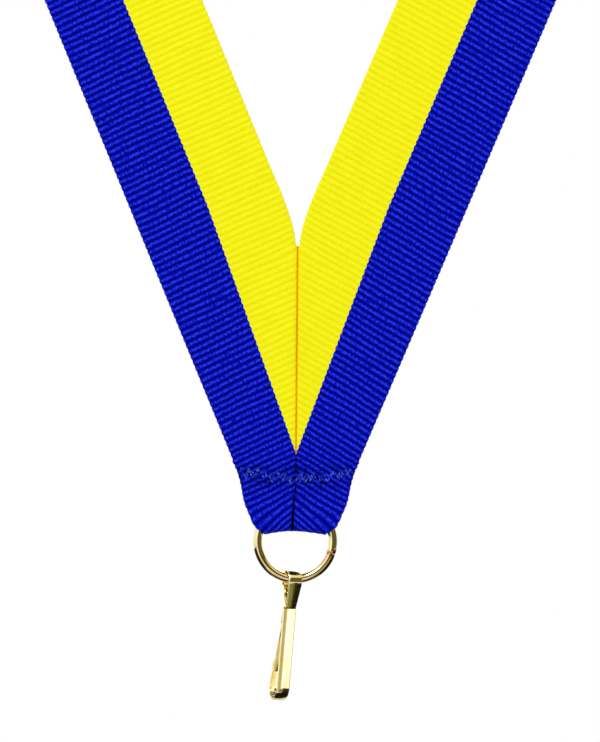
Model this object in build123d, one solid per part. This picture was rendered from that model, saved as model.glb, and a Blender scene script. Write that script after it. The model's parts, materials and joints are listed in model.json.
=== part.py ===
"""Neck ribbon of an award: a two-colour ribbon sewn to a V, with a jump ring and a snap hook.

Millimetres, +Z up, the V faces -Y. The origin is the middle of the ribbon's inner face at the
nape, where the ribbon rests on the neck. Shapes are drawn with the ribbon's bottom fold at zero
and are then moved to that origin.
"""
from build123d import *
import math
import os

import numpy as np
from scipy.optimize import fsolve

# ---- ribbon -------------------------------------------------------------------------------
ribbon_width = 22.0
ribbon_thickness = 0.45
leg_angle = 22.7            # each leg leans this far from the vertical, in degrees
crossing_height = 16.5      # where the two centre lines would cross, above the bottom fold
loop_half_length = 390.0    # centre line, from that crossing to the nape
flat_angle = 8.0            # the front stays flat this far to each side of the cone's front line
flat_length = 96.0          # flat part of each leg, along its centre line from the crossing
loop_sections = 26
heading_probe = 0.5         # the ribbon's heading is measured over this far to each side
seam_slit = 0.16            # between the two mitred edges
allowance_width = 4.0       # seam allowance turned behind each leg
allowance_end = 11.0        # the allowances are trimmed here, above the fold

# ---- fold round the ring ------------------------------------------------------------------
ring_clearance = 0.3        # between the wire and the cloth
fold_side_clearance = 0.37  # between the narrow fold and the inside of the ring
tuck_height = 0.95          # the fold is this narrow up to here
tuck_bulge = 0.8            # how far the sides of the fold belly out
pocket_height = 6.3         # the back ply runs straight up to here
tail_join_height = 8.2      # and lies on the front ply from here
tail_end = 10.4
cut_margin = 2.0            # how far cutting shapes reach past the cloth

# ---- threads ------------------------------------------------------------------------------
seam_thread_diameter = 0.24
seam_stitch_length = 1.0
seam_stitch_pitch = 2.4
seam_stitch_end = 2.0       # the last stitch stays this far below the top of the seam
tack_thread_diameter = 0.3
tack_height = 8.9           # middle of the zig-zag row, above the fold
tack_rise = 1.5
tack_half_width = 8.2
tack_legs = 12

# ---- jump ring ----------------------------------------------------------------------------
wire_diameter = 1.37
ring_outer_diameter = 12.85
ring_drop = 1.6             # centre of the ring below the bottom fold
butt_gap = 0.12
butt_angle = -18.0          # from +X, towards +Z

# ---- snap hook ----------------------------------------------------------------------------
hook_lean = 4.4             # the hook hangs this far along the ring from its lowest point
hook_yaw = 20.0             # the hook is turned this far about its own length
strip_width = 2.1
strip_thickness = 0.5       # in the middle of the strip
strip_edge_thickness = 0.25
eye_inner_radius = 1.3
eye_clearance = 0.2         # between the top of the eye and the wire
tab_incline = 16.6
tab_length = 3.9
tab_width = 1.6             # the strip narrows from the eye to the end of the tab
neck_incline = 19.0
neck_bend_radius = 3.0
hook_drop = 18.85           # lowest point of the hook, below the wire
bend_inner_radius = 1.6
tip_width = 1.35            # the strip narrows from the lowest point of the bend to its end
tip_length = 3.25
flare_radius = 2.0
flare_angle = 16.0

# ---- gate ---------------------------------------------------------------------------------
gate_thickness = 0.25
gate_width = 1.5
gate_clearance = 0.06
gate_root_drop = 0.5        # gate root below the place where the strip runs straight
gate_overlap = 1.0          # the gate's end lies this far below the end of the tip
ear_thickness = 0.2
ear_depth = 0.75
ear_height = 1.8

# ---- derived sizes ------------------------------------------------------------------------
lean = math.radians(leg_angle)
wire_radius = wire_diameter / 2
ring_radius = (ring_outer_diameter - wire_diameter) / 2
pocket_gap = wire_diameter + 2 * ring_clearance
fold_inner_radius = pocket_gap / 2
fold_outer_radius = fold_inner_radius + ribbon_thickness
ring_depth = ribbon_thickness / 2 + fold_inner_radius
front_face = -ribbon_thickness / 2
apex_height = crossing_height + loop_half_length / math.cos(lean)
seam_top = crossing_height + ribbon_width / 2 / math.sin(lean)
nape_angle = 90.0 - leg_angle


# ---- shape of the loop --------------------------------------------------------------------
def swept_directions(curving, steps=900):
    """Directions of the cone's straight lines from its front to the nape.

    The ribbon lies without stretching on a cone with its point above the neck. The cone is
    flat in front and bends from flat_angle on, by an amount that grows linearly.
    """
    start, rate = curving
    step = math.radians(nape_angle) / steps
    along = np.array([0.0, 0.0, -1.0])
    across = np.array([1.0, 0.0, 0.0])
    inward = np.array([0.0, 1.0, 0.0])
    rows = [along]
    for index in range(steps):
        share = (math.degrees((index + 0.5) * step) - flat_angle) / (nape_angle - flat_angle)
        bend = start + rate * share if share > 0 else 0.0
        middle = across + 0.5 * step * (bend * inward - along)
        along = along + step * middle / np.linalg.norm(middle)
        along = along / np.linalg.norm(along)
        inward = inward - step * bend * middle
        inward = inward - along * np.dot(along, inward)
        inward = inward / np.linalg.norm(inward)
        across = np.cross(along, inward)
        rows.append(along)
    return np.array(rows), inward


def miss_at_nape(curving):
    """Both numbers are zero when the loop closes smoothly at the nape."""
    rows, inward = swept_directions(curving)
    return [rows[-1][0], inward[0]]


cone_curving = fsolve(miss_at_nape, (2.6, 0.5))
cone_directions, _ = swept_directions(cone_curving)
cone_angles = np.linspace(0.0, math.radians(nape_angle), len(cone_directions))


def on_cone(x, z):
    """Point of the worn ribbon for a point of its flat pattern, on the right-hand side."""
    reach = math.hypot(x, apex_height - z)
    turn = math.atan2(x, apex_height - z)
    if turn <= math.radians(flat_angle):
        return np.array([x, 0.0, z])
    point = [np.interp(turn, cone_angles, cone_directions[:, axis]) for axis in range(3)]
    point = np.array(point) / np.linalg.norm(point) * reach
    return point + np.array([0.0, 0.0, apex_height])


def pattern_point(distance, side):
    """Flat pattern of the right leg: distance along the centre line, side towards the inner edge."""
    x = distance * math.sin(lean) - side * math.cos(lean)
    z = crossing_height + distance * math.cos(lean) + side * math.sin(lean)
    return x, z


def loop_section(distance):
    """Rectangle across the ribbon at one distance, with its middle on the cone."""
    outer = on_cone(*pattern_point(distance, -ribbon_width / 2))
    inner = on_cone(*pattern_point(distance, ribbon_width / 2))
    before = on_cone(*pattern_point(distance - heading_probe, 0.0))
    after = on_cone(*pattern_point(min(distance + heading_probe, loop_half_length), 0.0))
    width = inner - outer
    width[0] = 0.0 if distance == loop_half_length else width[0]
    heading = after - before
    if distance == loop_half_length:
        heading = np.array([-1.0, 0.0, 0.0])
    if distance == flat_length:
        heading = np.array([math.sin(lean), 0.0, math.cos(lean)])
    normal = np.cross(width, heading)
    normal = normal / np.linalg.norm(normal) * ribbon_thickness / 2
    corners = [outer - normal, inner - normal, inner + normal, outer + normal]
    if distance == loop_half_length:
        corners = [(0.0, y, z) for _, y, z in corners]
    return make_face(Polyline(*[tuple(corner) for corner in corners], close=True))


def nape_point():
    """Middle of the ribbon's inner face at the nape, in the drawing frame."""
    outer = on_cone(*pattern_point(loop_half_length, -ribbon_width / 2))
    inner = on_cone(*pattern_point(loop_half_length, ribbon_width / 2))
    width = inner - outer
    normal = np.cross(width, (-1.0, 0.0, 0.0))
    normal = normal / np.linalg.norm(normal)
    middle = (outer + inner) / 2
    if normal[1] > 0:
        normal = -normal
    face = middle + normal * ribbon_thickness / 2
    return (0.0, face[1], face[2]), tuple(normal)


def placed(shape):
    """Move a shape from the drawing frame, with the fold at zero, to the neck's frame."""
    point, _ = nape_point()
    return Pos(-point[0], -point[1], -point[2]) * shape


# ---- ribbon -------------------------------------------------------------------------------
def outer_edge(z):
    """Half width of the V at a height."""
    return (z - crossing_height) * math.tan(lean) + ribbon_width / 2 / math.cos(lean)


def fold_half_width():
    """Half width of the fold, which fits inside the ring."""
    hole_radius = ring_radius - wire_radius
    height = ring_drop + ribbon_thickness
    return math.sqrt(hole_radius**2 - height**2) - fold_side_clearance


def v_outline():
    """Right half of the V, from the fold to the end of its flat part."""
    outer_end = pattern_point(flat_length, -ribbon_width / 2)
    inner_end = pattern_point(flat_length, ribbon_width / 2)
    narrow = (fold_half_width(), tuck_height)
    wide = (outer_edge(tail_end), tail_end)
    chord = Vector(*wide) - Vector(*narrow)
    belly = Vector(*narrow) + chord * 0.5 + Vector(chord.Y, -chord.X).normalized() * tuck_bulge
    side = ThreePointArc(narrow, (belly.X, belly.Y), wide)
    rest = Polyline(
        wide, outer_end, inner_end, (0.0, seam_top), (0.0, 0.0), (fold_half_width(), 0.0), narrow
    )
    return make_face(side + rest)


def upright(flat_face, depth_from, depth_to):
    """Plate from an outline drawn in X and Z, between two depths along Y."""
    plate = extrude(Plane.XZ * flat_face, -(depth_to - depth_from))
    return Pos(0, depth_from, 0) * plate


def split_at(shape, height, keep):
    """The part of a shape above or below a height."""
    return split(shape, bisect_by=Plane.XY.offset(height), keep=keep)


def fold_profile():
    """Side profile of the cloth: front ply, bend under the ring, back ply and sewn tail."""
    top = tail_end + cut_margin
    back = ribbon_thickness / 2 + pocket_gap
    front = Polyline((front_face, fold_outer_radius), (front_face, top))
    bend_outer = ThreePointArc(
        (front_face, fold_outer_radius),
        (ring_depth, 0.0),
        (back + ribbon_thickness, fold_outer_radius),
    )
    bend_inner = ThreePointArc(
        (-front_face, fold_outer_radius),
        (ring_depth, ribbon_thickness),
        (back, fold_outer_radius),
    )
    tail_outer = Polyline(
        (back + ribbon_thickness, fold_outer_radius),
        (back + ribbon_thickness, pocket_height),
        (-front_face + ribbon_thickness, tail_join_height),
        (-front_face + ribbon_thickness, tail_end),
        (-front_face, tail_end),
        (-front_face, top),
        (front_face, top),
    )
    tail_inner = Polyline(
        (back, fold_outer_radius), (back, pocket_height), (-front_face, tail_join_height),
        (-front_face, fold_outer_radius)
    )
    whole = make_face(front + bend_outer + tail_outer)
    pocket = make_face(bend_inner + tail_inner)
    return whole - pocket


def make_half_ribbon():
    """Right half: its share of the V with the seam allowance and the fold, and half the loop."""
    outline = v_outline()
    fold_block = extrude(Plane.YZ * fold_profile(), ribbon_width)
    divide = tail_end + cut_margin / 2
    bottom = fold_block & upright(outline, -ribbon_width, ribbon_width)
    bottom = split_at(bottom, divide, Keep.BOTTOM)
    leg = split_at(upright(outline, front_face, -front_face), divide, Keep.TOP)
    low = seam_top - allowance_width / math.tan(lean)
    turned = make_face(
        Polyline(
            (0, seam_top), (allowance_width, low), (allowance_width, allowance_end),
            (0, allowance_end), close=True,
        )
    )
    allowance = upright(turned, -front_face, -front_face + ribbon_thickness)
    distances = np.linspace(flat_length, loop_half_length, loop_sections)
    loop = loft([loop_section(float(distance)) for distance in distances])
    slit = Box(seam_slit, 4 * ribbon_width, 2 * (seam_top + cut_margin))
    return (bottom + leg + allowance - slit) + loop


def make_ribbon():
    """One length of ribbon: both halves, one piece at the nape."""
    half = make_half_ribbon()
    return half + mirror(half, Plane.YZ)


# ---- threads ------------------------------------------------------------------------------
def rod(start, end, diameter):
    """Round piece of thread between two points."""
    line = Vector(*end) - Vector(*start)
    plane = Plane(origin=start, z_dir=line)
    return extrude(plane * Circle(diameter / 2), line.length)


def make_seam_thread():
    """Stitches across the centre seam, each through the turned edges of both legs."""
    first = allowance_end + seam_stitch_pitch / 2
    count = int((seam_top - seam_stitch_end - first) / seam_stitch_pitch) + 1
    stitches = []
    for index in range(count):
        z = first + index * seam_stitch_pitch
        half = seam_stitch_length / 2
        stitches.append(rod((-half, -front_face, z), (half, -front_face, z), seam_thread_diameter))
    return Compound(children=stitches)


def make_bar_tack():
    """Zig-zag row: thread on the front and on the back, and through the cloth between them."""
    lie = tack_thread_diameter / 2
    front = front_face - lie
    back = -front_face + ribbon_thickness + lie
    points = []
    for index in range(tack_legs + 1):
        x = -tack_half_width + 2 * tack_half_width * index / tack_legs
        z = tack_height + (tack_rise / 2 if index % 2 else -tack_rise / 2)
        points.append((x, z))
    pieces = []
    for (x0, z0), (x1, z1) in zip(points, points[1:]):
        pieces.append(rod((x0, front, z0), (x1, front, z1), tack_thread_diameter))
        pieces.append(rod((x0, back, z0), (x1, back, z1), tack_thread_diameter))
    for x, z in points:
        pieces.append(rod((x, front - lie, z), (x, back + lie, z), tack_thread_diameter))
    tack = pieces[0]
    return tack.fuse(*pieces[1:])


# ---- jump ring ----------------------------------------------------------------------------
def make_jump_ring():
    """Wire bent to a ring, with its two ends butted but not joined."""
    gap_turn = math.degrees(butt_gap / ring_radius)
    wire = Pos(ring_radius, 0, 0) * Rot(90, 0, 0) * Circle(wire_radius)
    ring = revolve(wire, Axis.Z, 360 - gap_turn)
    ring = Rot(90, 0, 0) * Rot(0, 0, butt_angle + gap_turn / 2) * ring
    return Pos(0, ring_depth, -ring_drop) * ring


# ---- snap hook ----------------------------------------------------------------------------
eye_radius = eye_inner_radius + strip_thickness / 2
eye_height = wire_radius + eye_clearance - eye_inner_radius
bend_radius = bend_inner_radius + strip_thickness / 2
bend_height = bend_radius + strip_thickness / 2 - hook_drop
tip_depth = 2 * bend_radius


def hook_path():
    """Middle line of the strip in the hook's own plane: tab, eye, neck, spine, bend and tip.

    The first number is the depth behind the wire's centre, the second the height above it.
    """
    tab = math.radians(tab_incline)
    neck = math.radians(neck_incline)
    front = Vector(-eye_radius * math.cos(tab), eye_height - eye_radius * math.sin(tab))
    tab_end = front + Vector(math.sin(tab), -math.cos(tab)) * tab_length
    back = Vector(eye_radius * math.cos(neck), eye_height - eye_radius * math.sin(neck))
    neck_length = (back.X - neck_bend_radius * (1 - math.cos(neck))) / math.sin(neck)
    neck_end = back + Vector(-math.sin(neck), -math.cos(neck)) * neck_length
    neck_bend = JernArc(neck_end, (-math.sin(neck), -math.cos(neck)), neck_bend_radius, neck_incline)
    spine_end = Vector(0, bend_height)
    bend = JernArc(spine_end, (0, -1), bend_radius, 180)
    tip = Line(bend @ 1, (bend @ 1) + Vector(0, tip_length))
    path = Line(tab_end, front)
    path += ThreePointArc(front, (0.0, eye_height + eye_radius), back)
    path += Line(back, neck_end)
    path += neck_bend
    path += Line(neck_bend @ 1, spine_end)
    path += bend
    path += tip
    path += JernArc(tip @ 1, (0, 1), flare_radius, -flare_angle)
    return path


def spine_top():
    """Height where the neck of the hook runs out into the straight spine."""
    neck = math.radians(neck_incline)
    back_depth = eye_radius * math.cos(neck)
    neck_length = (back_depth - neck_bend_radius * (1 - math.cos(neck))) / math.sin(neck)
    drop = eye_radius * math.sin(neck) + neck_length * math.cos(neck)
    return eye_height - drop - neck_bend_radius * math.sin(neck)


def strip_section():
    """Cross-section of the strip: crowned on the spine's front face, flat on the other face."""
    half = strip_width / 2
    flat = strip_thickness / 2
    shoulder = flat - strip_edge_thickness
    return make_face(
        Polyline((-half, shoulder), (-half, flat), (half, flat), (half, shoulder))
        + ThreePointArc((half, shoulder), (0, -flat), (-half, shoulder))
    )


def hung(shape):
    """Hang a piece on the wire. It is drawn with its depth along X and its height along Z."""
    turned = Rot(0, 0, 90 + hook_yaw) * shape
    lowered = Pos(0, 0, -ring_radius) * turned
    return Pos(0, ring_depth, -ring_drop) * Rot(0, hook_lean, 0) * lowered


def side_trims(start, end, width, reach, depth_from, depth_to):
    """Two wedges that narrow the strip evenly from one height to this width at another.

    They run on past that second height to the third, and cut only between the two depths.
    """
    half = strip_width / 2
    narrow = half - (half - width / 2) * (reach - start) / (end - start)
    wedge = make_face(Polyline(
        (half, start), (strip_width, start), (strip_width, reach), (narrow, reach), close=True
    ))
    trim = Pos(depth_from, 0, 0) * extrude(Plane.YZ * wedge, depth_to - depth_from)
    return [trim, mirror(trim, Plane.XZ)]


def tip_trims():
    """The strip narrows from the lowest point of the bend to the end of the tip."""
    start = bend_height - bend_radius - strip_thickness / 2
    end = bend_height + tip_length
    return side_trims(start, end, tip_width, end + flare_radius, bend_radius, bend_radius + tip_depth)


def tab_trims():
    """The strip narrows from the middle of the eye to the end of the tab."""
    tab = math.radians(tab_incline)
    front = -eye_radius * math.cos(tab)
    end = eye_height - eye_radius * math.sin(tab) - tab_length * math.cos(tab)
    end_depth = front + tab_length * math.sin(tab)
    return side_trims(
        eye_height, end, tab_width, end - strip_thickness * math.sin(tab),
        front - strip_thickness, end_depth + strip_thickness / 2,
    )


def gate_root():
    """Depth and height of the gate's root, and the radius of its curl."""
    curl = ear_depth / 2 - gate_clearance
    return strip_thickness / 2 + gate_clearance + curl, spine_top() - gate_root_drop, curl


def make_hook_body():
    """Pressed strip bent to an eye, a spine and a hook, with two ears beside the gate's root."""
    path = Plane.XZ * hook_path()
    first = path.edges()[0]
    plane = Plane(origin=first @ 0, x_dir=(0, 1, 0), z_dir=first % 0)
    strip = sweep(plane * strip_section(), path=path)
    _, height, _ = gate_root()
    ear = Box(
        ear_depth + strip_thickness / 2, ear_thickness, ear_height,
        align=(Align.MIN, Align.CENTER, Align.CENTER),
    )
    side = gate_width / 2 + gate_clearance + ear_thickness / 2
    ears = [Pos(0, side, height) * ear, Pos(0, -side, height) * ear]
    return hung(strip - tip_trims() - tab_trims() + ears)


def make_gate():
    """Spring leaf from a curl between the ears to the inside of the tip."""
    depth, height, curl = gate_root()
    end_height = bend_height + tip_length - gate_overlap
    end_depth = tip_depth - strip_thickness / 2 - gate_clearance - gate_thickness
    leaf_length = math.hypot(end_depth - depth, height - end_height)
    slope = math.degrees(math.atan2(end_depth - depth, height - end_height))
    leaf = Box(gate_thickness, gate_width, leaf_length, align=(Align.CENTER, Align.CENTER, Align.MAX))
    root = Rot(90, 0, 0) * Cylinder(curl, gate_width)
    gate = Rot(0, -slope, 0) * leaf + root
    return hung(Pos(depth, 0, height) * gate)


if __name__ == "__main__":
    os.makedirs("parts", exist_ok=True)
    pieces = {
        "ribbon": make_ribbon(),
        "seam_thread": make_seam_thread(),
        "bar_tack": make_bar_tack(),
        "jump_ring": make_jump_ring(),
        "hook_body": make_hook_body(),
        "gate_spring": make_gate(),
    }
    for name, piece in pieces.items():
        export_step(placed(piece), f"parts/{name}.step")
    print("cone bends by", [round(float(value), 3) for value in cone_curving])
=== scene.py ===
"""Neck ribbon of an award with its jump ring and snap hook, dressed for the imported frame.

Shapes are worked out in millimetres with the ribbon's bottom fold at zero and +Z up, and are
then moved to the frame, in metres. Cloth has coordinates of its own: row counts millimetres of
ribbon from the crossing of the two centre lines, and side runs from -11 at the outer selvedge to
11 at the inner one. x is the distance from the seam, and q is the height on the front ply, which
runs on below zero as length round the fold and up the back.
"""
import json
import math

import bpy
import numpy as np
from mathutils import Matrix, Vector


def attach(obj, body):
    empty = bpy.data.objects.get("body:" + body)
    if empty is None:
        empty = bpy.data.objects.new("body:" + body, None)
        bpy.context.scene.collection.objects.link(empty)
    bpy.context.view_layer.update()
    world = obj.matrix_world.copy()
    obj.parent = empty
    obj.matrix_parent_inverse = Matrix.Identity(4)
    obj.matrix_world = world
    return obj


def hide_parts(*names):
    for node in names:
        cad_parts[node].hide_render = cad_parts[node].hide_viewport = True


bpy.context.scene.view_settings.view_transform = "Standard"
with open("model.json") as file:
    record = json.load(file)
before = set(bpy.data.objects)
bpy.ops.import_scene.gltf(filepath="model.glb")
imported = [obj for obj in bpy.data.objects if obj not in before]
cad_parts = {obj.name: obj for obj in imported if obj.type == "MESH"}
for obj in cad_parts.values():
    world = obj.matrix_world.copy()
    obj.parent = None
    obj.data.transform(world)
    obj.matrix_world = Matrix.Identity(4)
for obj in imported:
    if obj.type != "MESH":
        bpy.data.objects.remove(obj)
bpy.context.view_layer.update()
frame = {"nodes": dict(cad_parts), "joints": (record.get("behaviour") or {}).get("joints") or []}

# ---- the frame's places ------------------------------------------------------------------
JOINTS = {joint["name"]: joint for joint in frame["joints"]}
RING_CENTRE = np.array(JOINTS["ring_turn"]["pos_m"]) * 1000.0

# ---- sizes, in millimetres and radians ---------------------------------------------------
# the ribbon's run: two straight legs, then a cone round the neck
HALF_WIDTH = 11.0
CLOTH = 0.42
LEAN = math.radians(22.7)
CROSSING = 16.5
LEG_END = 95.04
LOOP_END = 390.0
NAPE_FADE = 60.0
FLAT_TURN = math.radians(8.0)
BEND_START = 3.775
BEND_RATE = -1.908

# the join: fold, tail, seam and allowances
PLY_GAP = 1.97
HALF_PLY = 0.225
BEND_RADIUS = PLY_GAP / 2 + HALF_PLY
RING_DEPTH = BEND_RADIUS
TAIL_TOP = 9.9
TAIL_GAP = 0.62
TAIL_EASE = (2.2, 6.0)
ALLOWANCE = 4.0
ALLOWANCE_ROWS = (-6.0, 24.6)
ALLOWANCE_GAP = 0.04
KNEE = 35.7
KNEE_DROP = 0.018
KNEE_IN = 0.042
BELLY = 0.95
BELLY_HEIGHT = 3.6
BELLY_SPREAD = 3.4
TUCK_HALF = 4.62
TUCK_FLARE = 0.47
TUCK_TOP = 1.6
SEAM_TOP = (42.6, 43.6)
SEAM_LEAN = 0.45
SEAM_BLEND = 1.35
SEAM_SHIFT = 0.25
OVERLAP = 0.06
RIDGE = 0.5
PUCKER = 0.26
SWELL = 0.12
WRINKLE = 0.10
DIMPLE = 0.16

# the weave, and how far it is pulled askew on each side, in degrees
RIB = 0.96
RIB_HEIGHT = 0.11
RIB_WANDER = 0.05
RIB_ROUND = 1.86
RIB_SWAY = 0.09
SCALLOP = 0.2
EDGE_TUCK = 0.15
GATHER = 0.14
GATHER_ROW = -1.0
GATHER_BLEND = 3.0
SLANT_ROWS = (24.0, -6.0)
FAN_ROWS = (22.0, -3.0)
FOLD_FAN_ROWS = (-4.0, -18.0)
SKEW = {
    "right": (5.5, 7.3, 11.0, -12.0, 16.0),
    "left": (1.0, 3.2, 8.0, -18.0, 24.0),
}

# the threads
THREAD_RADIUS = 0.14
TACK_HEIGHT = 9.1
TACK_HALF = 8.5
TACK_RISE = 1.5
TACK_SAG = 1.1
SEAM_THREAD_RADIUS = 0.12
STITCH_ENDS = (12.2, 43.0)
STITCH_PITCH = 2.4
STITCH_HALF = 0.5

# the ring
RING_DROP = 1.6
RING_RADIUS = 5.74
WIRE_RADIUS = 0.7
BUTT_ANGLE = math.radians(-18.0)
BUTT_GAP = 0.05
WIRE_LENGTH = 2 * math.pi * RING_RADIUS - BUTT_GAP

# the hook
STRIP_WIDTH = 2.1
STRIP_HALF = 0.25
STRIP_ROUND = 0.55
EYE_RADIUS = 1.55
EYE_HEIGHT = -0.415
TAB_INCLINE = math.radians(16.6)
TAB_LENGTH = 3.9
TAB_WIDTH = 1.6
NECK_INCLINE = math.radians(22.5)
NECK_RADIUS = 1.2
BEND_TURN_RADIUS = 1.85
BEND_HEIGHT = -16.75
TIP_LENGTH = 3.25
TIP_WIDTH = 1.35
FLARE_RADIUS = 2.0
FLARE_ANGLE = math.radians(16.0)
END_ROUND = 0.3
EAR_THICKNESS = 0.2
EAR_DEPTH = 0.42
EAR_HEIGHT = 1.5
EAR_SIDE = 0.91
EAR_CORNER = 0.45

# the stage and the camera, in metres; FOCUS_HEIGHT is in millimetres above the fold
FOCUS_HEIGHT = 24.4
FLOOR_DROP = 0.75
FLOOR_HALF = 2.5
VIEW_HEIGHT = 0.1131
LENS = 200.0
SENSOR = 36.0
CAMERA_SHIFT = 0.0005
CAMERA_ROLL = math.radians(-0.45)

FOLD = RING_CENTRE - np.array([0.0, RING_DEPTH, -RING_DROP])
APEX = CROSSING + LOOP_END / math.cos(LEAN)


def to_frame(points):
    """Drawing millimetres to metres in the frame."""
    return (points + FOLD) / 1000.0


# ---- mesh helpers ------------------------------------------------------------------------
def grid_mesh(name, points, layers=None):
    """Mesh of a bar: each row of points is one closed turn round it, and a quad joins each four.

    One face each closes the first and the last row. Each layer is a UV map that gives two numbers
    per point.
    """
    rows, columns = points.shape[:2]
    index = np.arange(rows * columns).reshape(rows, columns)
    turn = np.concatenate([index, index[:, :1]], axis=1)
    quads = np.stack([turn[:-1, :-1], turn[:-1, 1:], turn[1:, 1:], turn[1:, :-1]], axis=-1)
    faces = quads.reshape(-1, 4).tolist()
    faces.append(index[0][::-1].tolist())
    faces.append(index[-1].tolist())
    mesh = bpy.data.meshes.new(name)
    mesh.from_pydata(to_frame(points.reshape(-1, 3)).tolist(), [], faces)
    mesh.polygons.foreach_set("use_smooth", np.ones(len(faces), dtype=bool))
    corner = np.empty(len(mesh.loops), dtype=np.int32)
    mesh.loops.foreach_get("vertex_index", corner)
    for title, pair in (layers or {}).items():
        layer = mesh.uv_layers.new(name=title)
        layer.data.foreach_set("uv", pair.reshape(-1, 2)[corner].astype(np.float32).ravel())
    mesh.update()
    piece = bpy.data.objects.new(name, mesh)
    bpy.context.scene.collection.objects.link(piece)
    return piece


def smooth_step(low, high, value):
    """0 at low, 1 at high and an even S between them, also where high is the smaller number."""
    share = np.clip((value - low) / (high - low), 0.0, 1.0)
    return share * share * (3.0 - 2.0 * share)


def ripple(a, b, seed):
    """Soft noise: the sum of five sine waves of uneven lengths in uneven directions, about -1 to 1."""
    total = np.zeros(np.broadcast(a, b).shape)
    for step in range(5):
        pace = 0.9 + 0.53 * step
        turn = seed * 1.7 + step * 2.4
        total = total + np.sin(a * pace * math.cos(turn) + b * pace * math.sin(turn) + turn * 3.1)
    return total / 3.2


# ---- the worn loop -----------------------------------------------------------------------
def swept_cone(steps=1400):
    """Directions and inward normals of the cone's straight lines, from the front to the nape.

    A frame of three unit vectors is carried round; it bends inwards by BEND_START, plus
    BEND_RATE times the share of the way, once it has left the flat front.
    """
    last = math.pi / 2 - LEAN
    step = last / steps
    along = np.array([0.0, 0.0, -1.0])
    across = np.array([1.0, 0.0, 0.0])
    inward = np.array([0.0, 1.0, 0.0])
    lines, normals = [along], [inward]
    for number in range(steps):
        share = ((number + 0.5) * step - FLAT_TURN) / (last - FLAT_TURN)
        bend = BEND_START + BEND_RATE * share if share > 0 else 0.0
        middle = across + 0.5 * step * (bend * inward - along)
        along = along + step * middle / np.linalg.norm(middle)
        along = along / np.linalg.norm(along)
        inward = inward - step * bend * middle
        inward = inward - along * np.dot(along, inward)
        inward = inward / np.linalg.norm(inward)
        across = np.cross(along, inward)
        lines.append(along)
        normals.append(inward)
    return np.linspace(0.0, last, steps + 1), np.array(lines), np.array(normals)


CONE_TURN, CONE_LINE, CONE_NORMAL = swept_cone()


def on_cone(x, z):
    """Place and outward normal of the right leg for points of its flat pattern.

    A point's angle about the apex picks a straight line of the cone, and its distance from the
    apex is kept along that line, so the cloth is bent but never stretched.
    """
    reach = np.hypot(x, APEX - z)
    turn = np.arctan2(x, APEX - z)
    line = np.stack([np.interp(turn, CONE_TURN, CONE_LINE[:, axis]) for axis in range(3)], axis=-1)
    normal = np.stack([np.interp(turn, CONE_TURN, CONE_NORMAL[:, axis]) for axis in range(3)], axis=-1)
    line = line / np.linalg.norm(line, axis=-1, keepdims=True)
    place = line * reach[..., None] + np.array([0.0, 0.0, APEX])
    return place, -normal


# ---- the ribbon's cloth ------------------------------------------------------------------
def fold_profile(q):
    """Side view of the cloth: straight down the front, half round the fold, then up the back.

    Past the fold the tail eases in from the bend's width until it lies TAIL_GAP behind the front.
    Returns depth, height and the outward normal's depth and height.
    """
    turn = np.clip((BEND_RADIUS - q) / BEND_RADIUS, 0.0, math.pi)
    behind = np.maximum(BEND_RADIUS - math.pi * BEND_RADIUS - q, 0.0)
    depth = np.where(q > BEND_RADIUS, 0.0, RING_DEPTH - BEND_RADIUS * np.cos(turn))
    height = np.where(q > BEND_RADIUS, q, BEND_RADIUS - BEND_RADIUS * np.sin(turn))
    height = height + behind
    depth = depth - smooth_step(*TAIL_EASE, behind) * (2 * BEND_RADIUS - TAIL_GAP)
    return depth, height, -np.cos(turn), -np.sin(turn)


def drift(row, side, skew):
    """How far a rib has run along the ribbon at this side, because the weave is pulled askew.

    skew holds degrees: the yellow half's slant, the blue half's slant on the leg and at the join,
    and how much more the ribs fan out towards the seam just above the tack row and at the fold.
    The slant is a straight run and the fan a parabola, both zero at the colour boundary. Both fade
    out before the nape, where the two halves meet.
    """
    yellow, blue_high, blue_low, fan_high, fan_low = (math.tan(math.radians(angle)) for angle in skew)
    slant = blue_high + (blue_low - blue_high) * smooth_step(*SLANT_ROWS, row)
    fan = fan_high * smooth_step(*FAN_ROWS, row)
    fan = fan + (fan_low - fan_high) * smooth_step(*FOLD_FAN_ROWS, row)
    share = (side + HALF_WIDTH) / HALF_WIDTH
    blue = slant * side + fan * HALF_WIDTH * (share * share - 0.5 * share - 0.5) * 0.5
    run = np.where(side < 0, blue, yellow * side)
    return run * smooth_step(LOOP_END, LOOP_END - NAPE_FADE, row)


def woven(row):
    """Millimetres of weave up to a row: below GATHER_ROW the cloth is gathered, with closer ribs."""
    below = row - GATHER_ROW
    gathered = 0.5 * (below - np.sqrt(below**2 + GATHER_BLEND**2))
    return row + GATHER * gathered


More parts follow.
